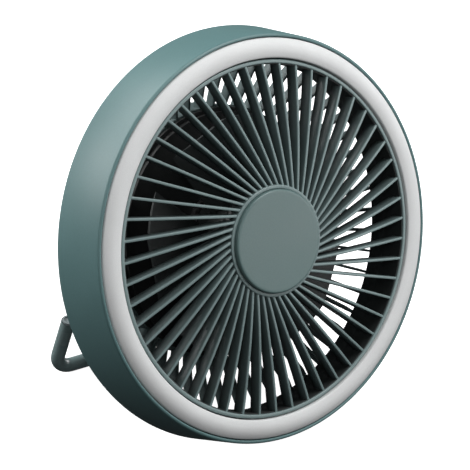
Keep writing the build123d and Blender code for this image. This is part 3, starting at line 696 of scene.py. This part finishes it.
def sign_marks(across, count, reach, half_length, half_width, dot):
    """Round dot with a ring of oval marks, standing proud of a button's top."""
    bm = bmesh.new()
    bmesh.ops.create_circle(bm, cap_ends=True, radius=1, segments=mark_sides)
    bmesh.ops.scale(bm, verts=bm.verts, vec=(half_length, half_width, 1))
    bmesh.ops.translate(bm, verts=bm.verts, vec=(reach, 0, 0))
    bmesh.ops.spin(bm, geom=bm.verts[:] + bm.edges[:] + bm.faces[:], cent=(0, 0, 0), axis=(0, 0, 1),
                   angle=math.tau * (count - 1) / count, steps=count - 1, use_duplicate=True)
    bmesh.ops.create_circle(bm, cap_ends=True, radius=dot, segments=dot_sides)
    grown = bmesh.ops.extrude_face_region(bm, geom=bm.faces[:])["geom"]
    raised = [corner for corner in grown if isinstance(corner, bmesh.types.BMVert)]
    bmesh.ops.translate(bm, verts=raised, vec=(0, 0, -button_dish - sign_height))
    bmesh.ops.recalc_face_normals(bm, faces=bm.faces)
    bmesh.ops.translate(bm, verts=bm.verts, vec=(across, control_rise, button_top + button_dish))
    return bm


settle("fan_push_cap", button_cap(-control_spacing), button_pale,
       "fan_button", "button", "fan_button")
settle("light_push_cap", button_cap(control_spacing), button_pale,
       "light_button", "button", "light_button")
settle("fan_sign", sign_marks(-control_spacing, **fan_marks), sign_ink, "fan_button", "button")
settle("light_sign", sign_marks(control_spacing, **lamp_marks), sign_ink, "light_button", "button")

# Bail: one bent tube, stand and hanger in one, hung by its arms on steel pins in the guard's lugs.
# Painted steel tube in the drum's teal, plugged at both cut ends, turning in white nylon bushes.
bail_joint = next(joint for joint in frame["joints"] if joint["name"] == "bail_swing")
pivot = Vector(bail_joint["pos_m"])
bail_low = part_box("bail_tube")[0]
tube_radius = 0.0035
bail_half_width = 0.0768
bail_bend = 0.0105
arm_tip = 0.003
tube_sides = 32
bend_steps = 10
bar_height = bail_low[2] + tube_radius
hang = Matrix.Translation((0, pivot.y, 0))
bail = bmesh.new()
start_ring = bmesh.ops.create_circle(bail, cap_ends=False, radius=tube_radius,
                                     segments=tube_sides)["verts"]
bmesh.ops.translate(bail, verts=start_ring, vec=(-bail_half_width, 0, pivot.z + arm_tip))
loop = bail.edges[:]


def run(bm, loop, reach):
    """Carries the tube's open end straight on."""
    grown = bmesh.ops.extrude_edge_only(bm, edges=loop)["geom"]
    corners = [item for item in grown if isinstance(item, bmesh.types.BMVert)]
    bmesh.ops.translate(bm, verts=corners, vec=reach)
    return [item for item in grown if isinstance(item, bmesh.types.BMEdge)]


def bend(bm, loop, centre):
    """Bends the tube's open end through a quarter turn about a centre."""
    ring = list({corner for edge in loop for corner in edge.verts})
    last = bmesh.ops.spin(bm, geom=ring + loop, cent=centre, axis=(0, -1, 0), angle=math.pi / 2,
                          steps=bend_steps)["geom_last"]
    return [item for item in last if isinstance(item, bmesh.types.BMEdge)]


arm_run = pivot.z + arm_tip - bar_height - bail_bend
loop = run(bail, loop, (0, 0, -arm_run))
loop = bend(bail, loop, (bail_bend - bail_half_width, 0, bar_height + bail_bend))
loop = run(bail, loop, ((bail_half_width - bail_bend) * 2, 0, 0))
loop = bend(bail, loop, (bail_half_width - bail_bend, 0, bar_height + bail_bend))
run(bail, loop, (0, 0, arm_run))
bmesh.ops.remove_doubles(bail, verts=bail.verts, dist=weld)
bmesh.ops.recalc_face_normals(bail, faces=bail.faces)
bail_paint = moulded("bail_paint", (0.22, 0.30, 0.30), 0.28, grain=1800, relief=0.00001)
settle("bent_bail", bail, bail_paint, "bail", "bail", "bail_tube", place=hang)
coat(moulded("plug_grey", (0.40, 0.46, 0.47), 0.3), "bail_end_caps")
coat(moulded("bush_nylon", (0.7, 0.7, 0.66), 0.45), "pivot_bushes")

# Viewpoint: in front of the fan, to its left and above it, with a long lens and a little roll.
# Given in the fan's own frame: where the eye is, and which way is right and up in the picture.
lens_pixels = 2400
image_pixels = 470
eye = Vector((-0.6826, 0.2450, 0.9013))
picture_right = Vector((0.7874, -0.1065, 0.6068)).normalized()
picture_up = Vector((0.2103, 0.9719, -0.1023)).normalized()
camera_data = bpy.data.cameras.new("viewpoint")
camera_data.lens = camera_data.sensor_width * lens_pixels / image_pixels
camera = bpy.data.objects.new("viewpoint", camera_data)
bpy.context.scene.collection.objects.link(camera)
picture_turn = Matrix((picture_right, picture_up, picture_right.cross(picture_up))).transposed()
camera.matrix_world = stand @ Matrix.Translation(eye) @ picture_turn.to_4x4()
bpy.context.scene.camera = camera

# Studio: soft square lamps round the fan, a white floor, and a white room that only the eye sees.
# Each lamp has its place to the right, up and towards the eye from the fan, its size and its power.
picture_axes = (stand.to_3x3() @ picture_turn).to_4x4()


def lamp(name, place, size, watts):
    """Square soft lamp that looks at the fan."""
    light = bpy.data.lights.new(name, "AREA")
    light.size = size
    light.energy = watts
    holder = bpy.data.objects.new(name, light)
    bpy.context.scene.collection.objects.link(holder)
    offset = picture_axes @ Vector(place)
    aim = offset.to_track_quat("Z", "Y").to_matrix().to_4x4()
    holder.matrix_world = Matrix.Translation(rim_centre + offset) @ aim


lamp("upper_right_lamp", (0.7, 0.8, 0.5), 0.6, 11)
lamp("right_lamp", (1.15, 0.05, 0.15), 0.6, 3.5)
lamp("upper_left_lamp", (-0.75, 1.1, -0.1), 0.6, 7)
lamp("near_lamp", (-0.55, 1.03, 0.56), 0.6, 3)
lamp("left_lamp", (-1.1, 0.6, 0.1), 0.6, 8.5)
lamp("eye_lamp", (-0.05, 0.15, 1.3), 0.4, 3)
lamp("back_lamp", (0.9, 0.4, -1.1), 0.8, 8)

floor_reach = 6
floor_cells = 8
floor_drop = 0.0004
floor_glow = 0.95
floor_bm = bmesh.new()
bmesh.ops.create_grid(floor_bm, x_segments=floor_cells, y_segments=floor_cells, size=floor_reach)
bmesh.ops.translate(floor_bm, verts=floor_bm.verts, vec=(0, 0, -floor_drop))
floor_mesh = bpy.data.meshes.new("floor")
floor_bm.to_mesh(floor_mesh)
floor_bm.free()
floor = bpy.data.objects.new("floor", floor_mesh)
bpy.context.scene.collection.objects.link(floor)
floor_white = bpy.data.materials.new("floor_white")
floor_white.use_nodes = True
floor_shader = floor_white.node_tree.nodes["Principled BSDF"]
floor_shader.inputs["Base Color"].default_value = (0.8, 0.8, 0.8, 1)
floor_shader.inputs["Roughness"].default_value = 0.9
floor_shader.inputs["Emission Color"].default_value = (1, 1, 1, 1)
floor_shader.inputs["Emission Strength"].default_value = floor_glow
floor_mesh.materials.append(floor_white)
floor.visible_diffuse = False
floor.visible_glossy = False

ambient_tint = (0.9, 0.95, 1, 1)
ambient_strength = 0.035
world = bpy.data.worlds.new("white_room")
bpy.context.scene.world = world
world.use_nodes = True
sky = world.node_tree
seen = sky.nodes["Background"]
seen.inputs["Color"].default_value = (1, 1, 1, 1)
ambient = sky.nodes.new("ShaderNodeBackground")
ambient.inputs["Color"].default_value = ambient_tint
ambient.inputs["Strength"].default_value = ambient_strength
rays = sky.nodes.new("ShaderNodeLightPath")
either = sky.nodes.new("ShaderNodeMixShader")
sky.links.new(rays.outputs["Is Camera Ray"], either.inputs["Fac"])
sky.links.new(ambient.outputs["Background"], either.inputs[1])
sky.links.new(seen.outputs["Background"], either.inputs[2])
sky.links.new(either.outputs["Shader"], sky.nodes["World Output"].inputs["Surface"])
bpy.context.scene.view_settings.view_transform = "Standard"
